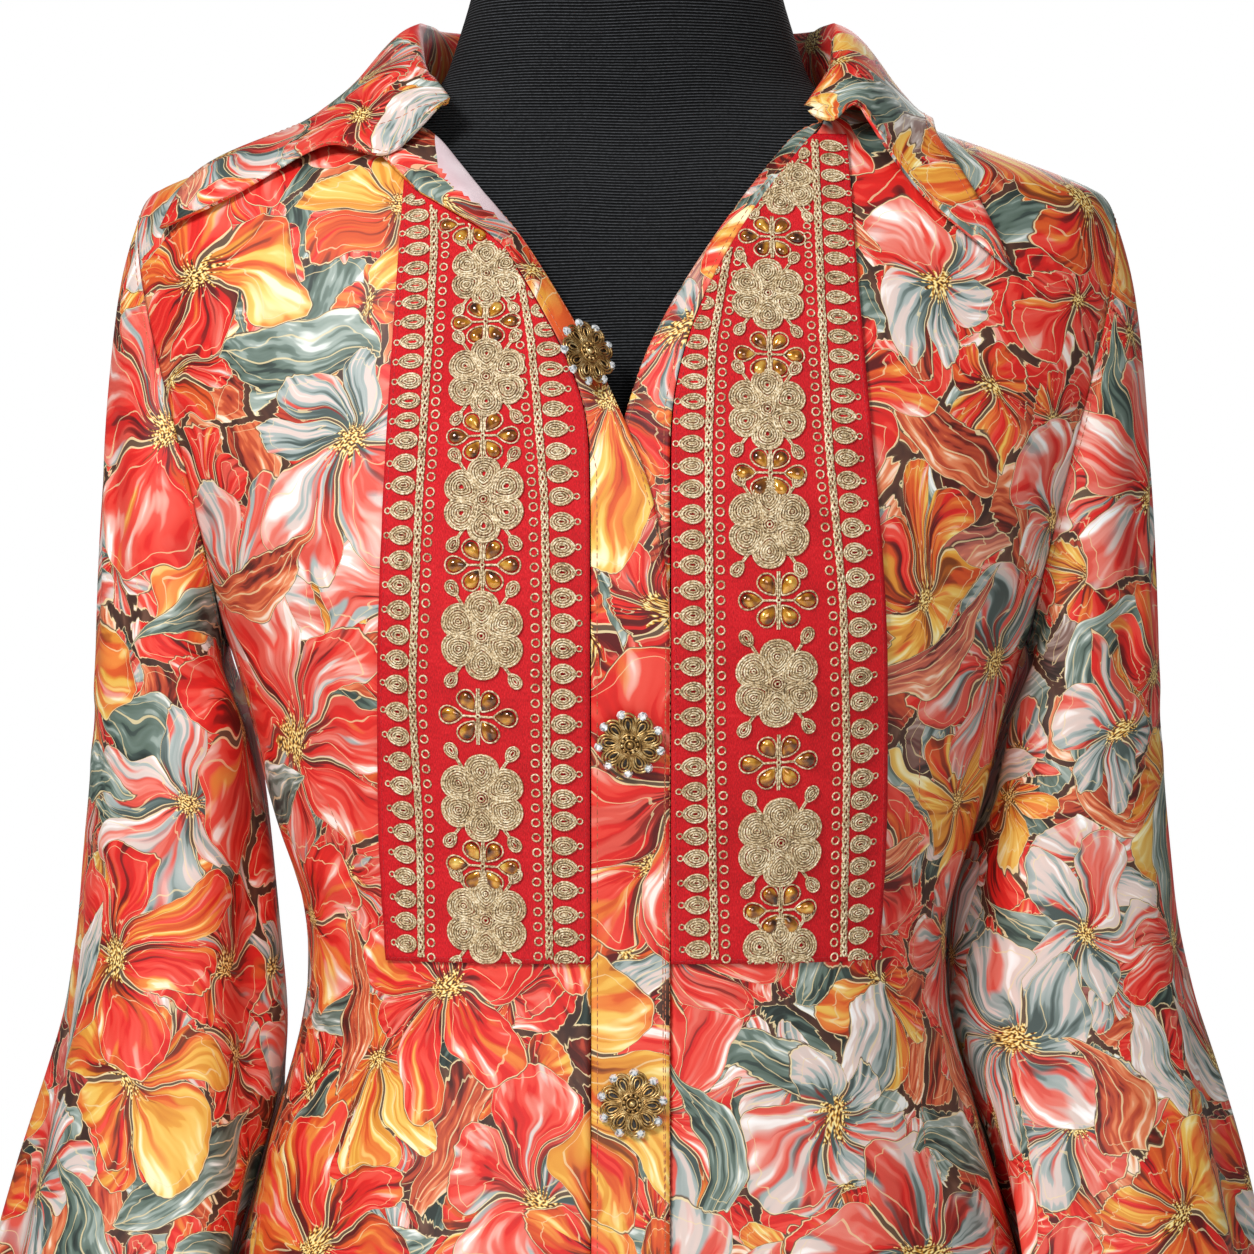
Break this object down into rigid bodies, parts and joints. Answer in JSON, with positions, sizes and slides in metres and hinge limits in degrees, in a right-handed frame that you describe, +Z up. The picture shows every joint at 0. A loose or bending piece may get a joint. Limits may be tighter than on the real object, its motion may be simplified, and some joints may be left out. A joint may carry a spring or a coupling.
{
  "type": "embroidered shirt on dress form",
  "caption": "Fitted button-through shirt with pointed collar, open V neck, embroidered front panels and bell sleeves, worn on a limbless form with a short round stand.",
  "frame": {"origin": "centre of the base's underside, on the floor", "axes": "+Z up the pole and the form's neck; -Y out of the shirt's front; +X towards the wearer's left sleeve"},
  "size_m": [0.5998, 0.28, 0.858],
  "materials": {
    "printed_cloth": "woven cloth with a soft sheen and a dense flower print",
    "red_ribbon": "matt ribbed ribbon",
    "gold_thread": "couched thread with a dull shine",
    "button_metal": "aged filigree",
    "form_jersey": "fine ribbed black jersey",
    "stand_metal": "satin black"
  },
  "bodies": {
    "root": {"dress_form": "form_jersey", "base": "stand_metal", "pole": "stand_metal", "socket": "stand_metal", "right_front": "printed_cloth", "left_front": "printed_cloth", "back": "printed_cloth", "right_sleeve": "printed_cloth", "left_sleeve": "printed_cloth", "under_band": "printed_cloth", "button_band": "printed_cloth", "collar": "printed_cloth", "right_embroidered_panel": "red_ribbon", "left_embroidered_panel": "red_ribbon", "right_flower_1": "gold_thread", "right_flower_2": "gold_thread", "right_flower_3": "gold_thread", "right_flower_4": "gold_thread", "right_flower_5": "gold_thread", "right_flower_6": "gold_thread", "left_flower_1": "gold_thread", "left_flower_2": "gold_thread", "left_flower_3": "gold_thread", "left_flower_4": "gold_thread", "left_flower_5": "gold_thread", "button_1": "button_metal", "button_2": "button_metal", "button_3": "button_metal", "button_4": "button_metal"}
  },
  "joints": []
}
